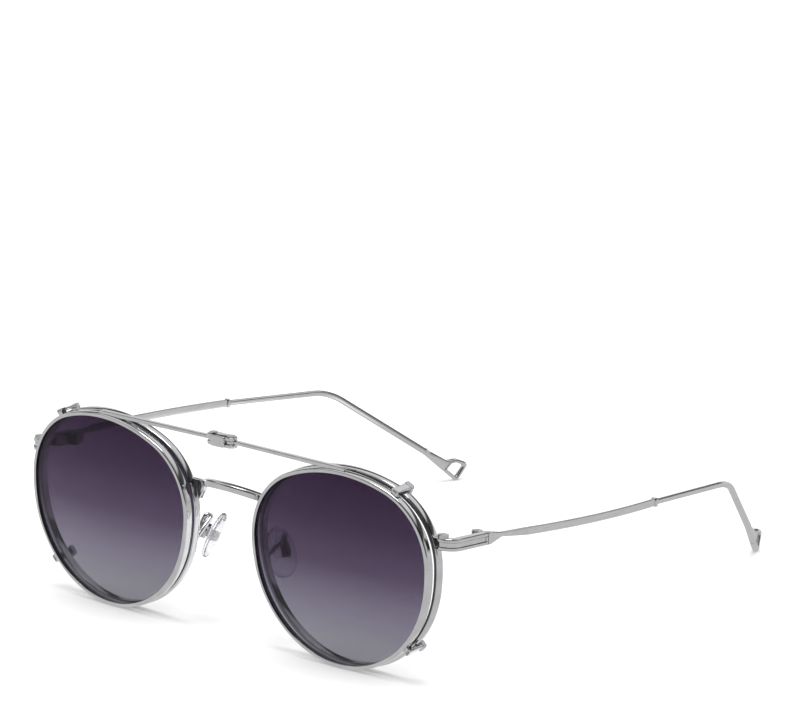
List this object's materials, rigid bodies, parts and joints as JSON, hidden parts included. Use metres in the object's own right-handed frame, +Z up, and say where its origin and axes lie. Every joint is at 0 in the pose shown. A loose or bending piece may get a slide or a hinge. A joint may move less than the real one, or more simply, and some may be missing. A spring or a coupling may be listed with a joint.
{
  "type": "clip-on sunglasses",
  "caption": "Round thin metal glasses with clear lenses and a clip-on tinted front that hooks over the rims, pulls off forward and folds in half at a centre block; the temples fold.",
  "frame": {"origin": "middle of the bottom of the whole part as it stands open on its rims and temple tips", "axes": "+X to the viewer's right when looking at the front, the front faces -Y, +Z up"},
  "size_m": [0.1468, 0.1552, 0.0515],
  "materials": {
    "polished_silver": "polished silver plating",
    "satin_silver": "satin along the temple",
    "screw_steel": "turned",
    "hinge_steel": "stamped",
    "tinted_lens": "gradient tint, darker at the top",
    "clear_lens": "clear, polished",
    "clear_silicone": "clear soft silicone",
    "clear_sleeve": "clear soft tube"
  },
  "bodies": {
    "frame": {"bridge": "polished_silver", "left_frame_rim": "polished_silver", "left_clear_lens": "clear_lens", "left_endpiece": "polished_silver", "left_endpiece_leaf": "hinge_steel", "left_rim_screw": "screw_steel", "left_hinge_screw": "screw_steel", "left_pad_arm": "polished_silver", "left_pad_box": "polished_silver", "left_pad_screw": "screw_steel", "right_frame_rim": "polished_silver", "right_clear_lens": "clear_lens", "right_endpiece": "polished_silver", "right_endpiece_leaf": "hinge_steel", "right_rim_screw": "screw_steel", "right_hinge_screw": "screw_steel", "right_pad_arm": "polished_silver", "right_pad_box": "polished_silver", "right_pad_screw": "screw_steel"},
    "left_temple": {"left_temple_strip": "satin_silver", "left_temple_leaf": "hinge_steel", "left_temple_collar": "polished_silver", "left_temple_rod": "polished_silver", "left_temple_tip": "polished_silver"},
    "right_temple": {"right_temple_strip": "satin_silver", "right_temple_leaf": "hinge_steel", "right_temple_collar": "polished_silver", "right_temple_rod": "polished_silver", "right_temple_tip": "polished_silver"},
    "left_pad": {"left_nose_pad": "clear_silicone", "left_pad_lug": "polished_silver"},
    "right_pad": {"right_nose_pad": "clear_silicone", "right_pad_lug": "polished_silver"},
    "clip_centre": {"fold_block": "polished_silver", "left_fold_pin": "screw_steel", "right_fold_pin": "screw_steel"},
    "left_clip": {"left_clip_rim": "polished_silver", "left_tinted_lens": "tinted_lens", "left_brow_bar": "polished_silver", "left_upper_claw": "polished_silver", "left_lower_claw": "polished_silver", "left_upper_sleeve": "clear_sleeve", "left_lower_sleeve": "clear_sleeve"},
    "right_clip": {"right_clip_rim": "polished_silver", "right_tinted_lens": "tinted_lens", "right_brow_bar": "polished_silver", "right_upper_claw": "polished_silver", "right_lower_claw": "polished_silver", "right_upper_sleeve": "clear_sleeve", "right_lower_sleeve": "clear_sleeve"}
  },
  "joints": [
    {"name": "left_temple_fold", "type": "hinge", "parent": "frame", "child": "left_temple", "pos_m": [-0.06648, -0.05824, 0.03503], "axis": [0, -0.061, -0.9981], "range_deg": [0, 86]},
    {"name": "right_temple_fold", "type": "hinge", "parent": "frame", "child": "right_temple", "pos_m": [0.06648, -0.05824, 0.03503], "axis": [0, 0.061, 0.9981], "range_deg": [0, 82]},
    {"name": "left_pad_rock", "type": "hinge", "parent": "frame", "child": "left_pad", "pos_m": [-0.01319, -0.0669, 0.02277], "axis": [-0.4226, 0.9063, 0.0109], "range_deg": [-8, 8]},
    {"name": "right_pad_rock", "type": "hinge", "parent": "frame", "child": "right_pad", "pos_m": [0.01319, -0.0669, 0.02277], "axis": [-0.4226, -0.9063, -0.0109], "range_deg": [-8, 8]},
    {"name": "clip_release", "type": "slide", "parent": "frame", "child": "clip_centre", "axis": [0, -1, 0], "range_m": [0, 0.03], "deforming": ["left_upper_claw", "left_lower_claw", "left_upper_sleeve", "left_lower_sleeve", "right_upper_claw", "right_lower_claw", "right_upper_sleeve", "right_lower_sleeve"]},
    {"name": "left_clip_fold", "type": "hinge", "parent": "clip_centre", "child": "left_clip", "pos_m": [-0.0029, -0.07516, 0.0499], "axis": [0, 0, 1], "range_deg": [0, 90], "deforming": ["left_upper_claw", "left_lower_claw", "left_upper_sleeve", "left_lower_sleeve"]},
    {"name": "right_clip_fold", "type": "hinge", "parent": "clip_centre", "child": "right_clip", "pos_m": [0.0029, -0.07516, 0.0499], "axis": [0, 0, -1], "range_deg": [0, 90], "deforming": ["right_upper_claw", "right_lower_claw", "right_upper_sleeve", "right_lower_sleeve"]}
  ]
}
